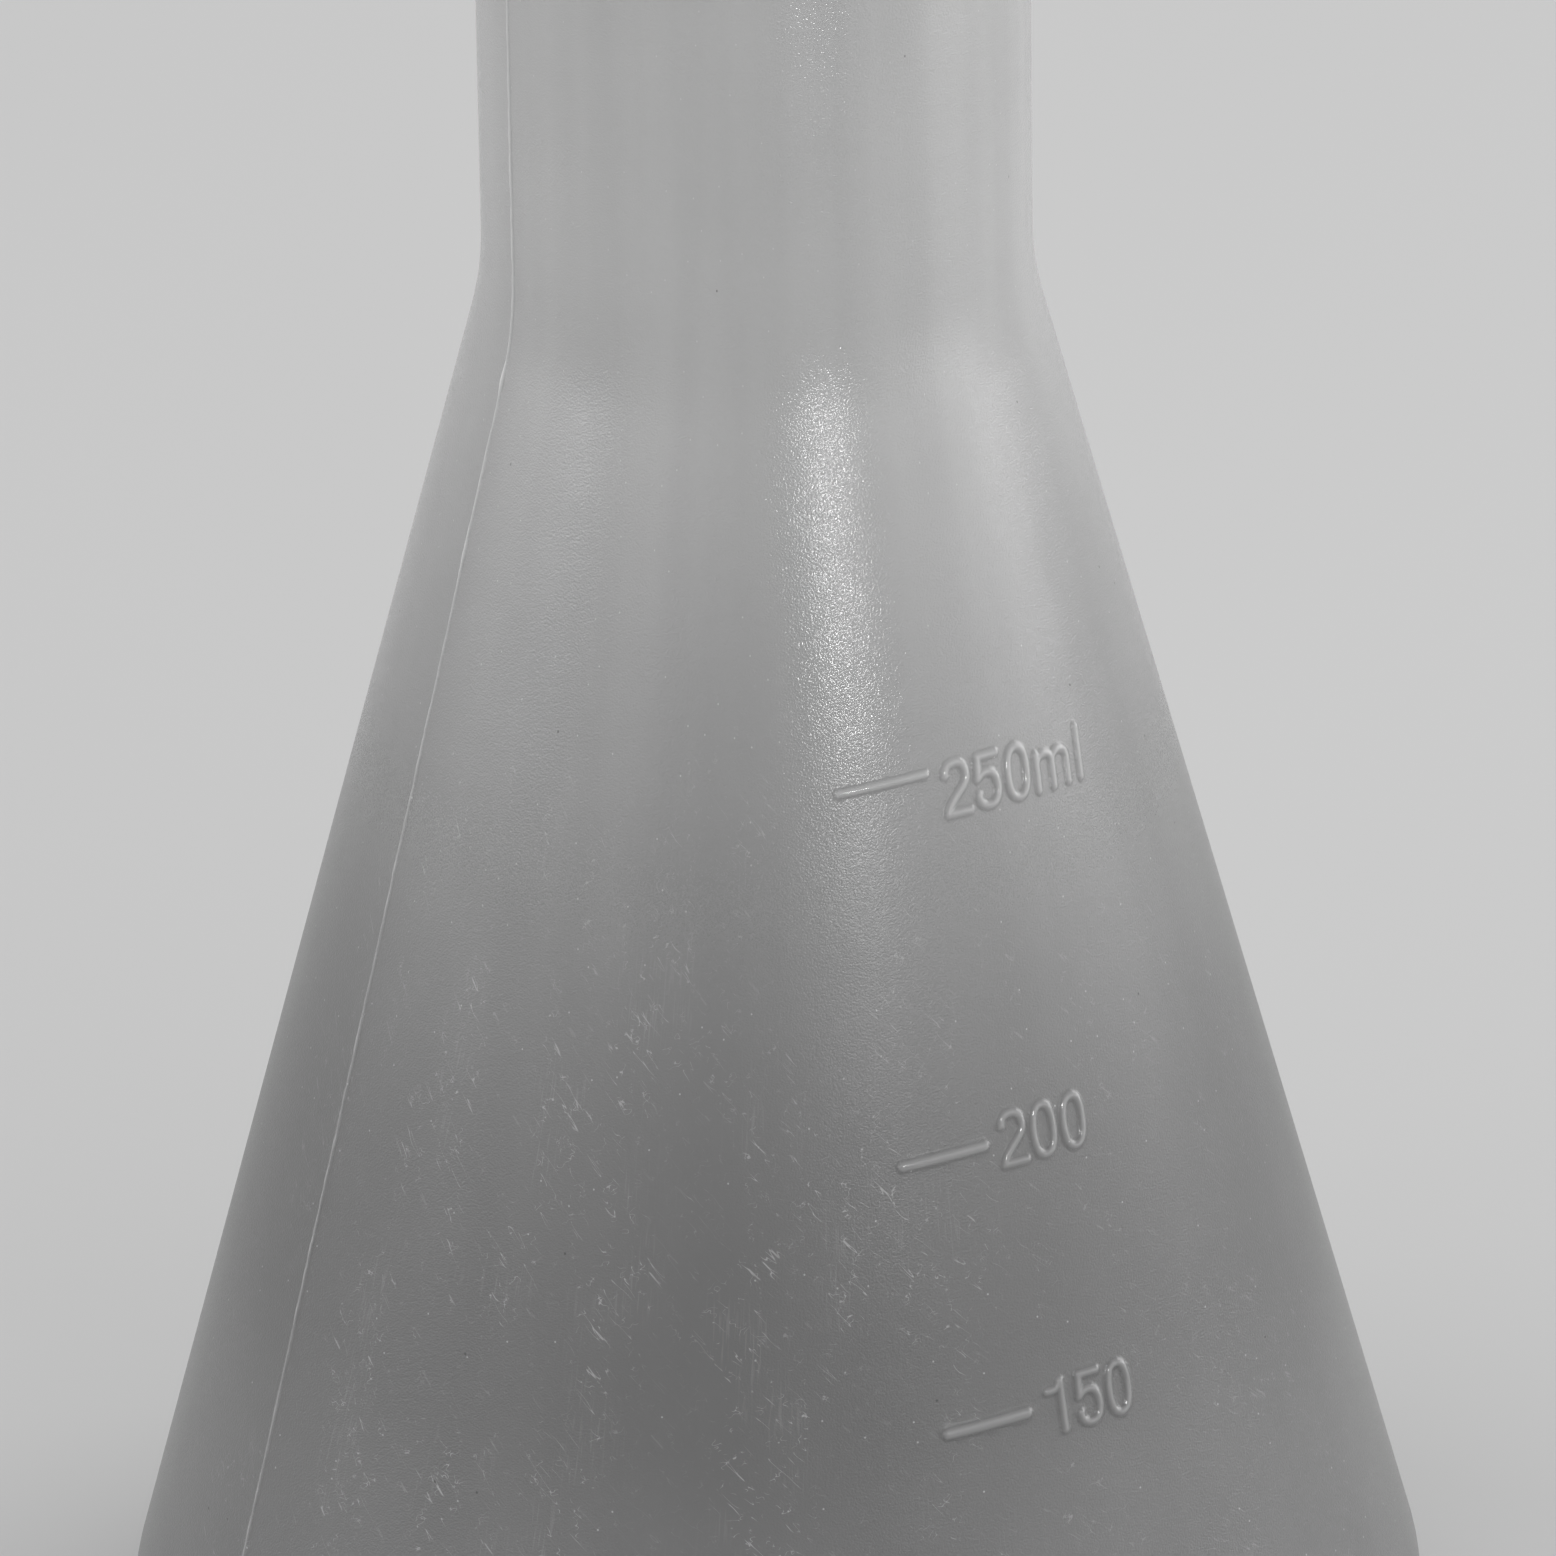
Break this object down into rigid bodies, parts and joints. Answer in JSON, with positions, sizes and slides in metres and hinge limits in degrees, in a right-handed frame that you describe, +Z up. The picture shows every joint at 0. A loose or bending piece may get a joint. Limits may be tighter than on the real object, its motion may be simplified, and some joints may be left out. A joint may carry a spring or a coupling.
{
  "type": "erlenmeyer flask",
  "caption": "Conical laboratory flask, blow moulded in translucent plastic, with a straight neck, a beaded mouth, raised graduation marks and a recessed base.",
  "frame": {"origin": "centre of the plane the flask stands on, on the axis of the vessel", "axes": "+Z up along the vessel's axis; the mould parts on the XZ plane, so its seams run down at +X and -X; the raised graduation faces -Y"},
  "size_m": [0.0828, 0.0824, 0.145],
  "materials": {
    "natural_polypropylene": "translucent, natural uncoloured, fine satin grain with scuffs"
  },
  "bodies": {
    "root": {"flask": "natural_polypropylene"}
  },
  "joints": []
}
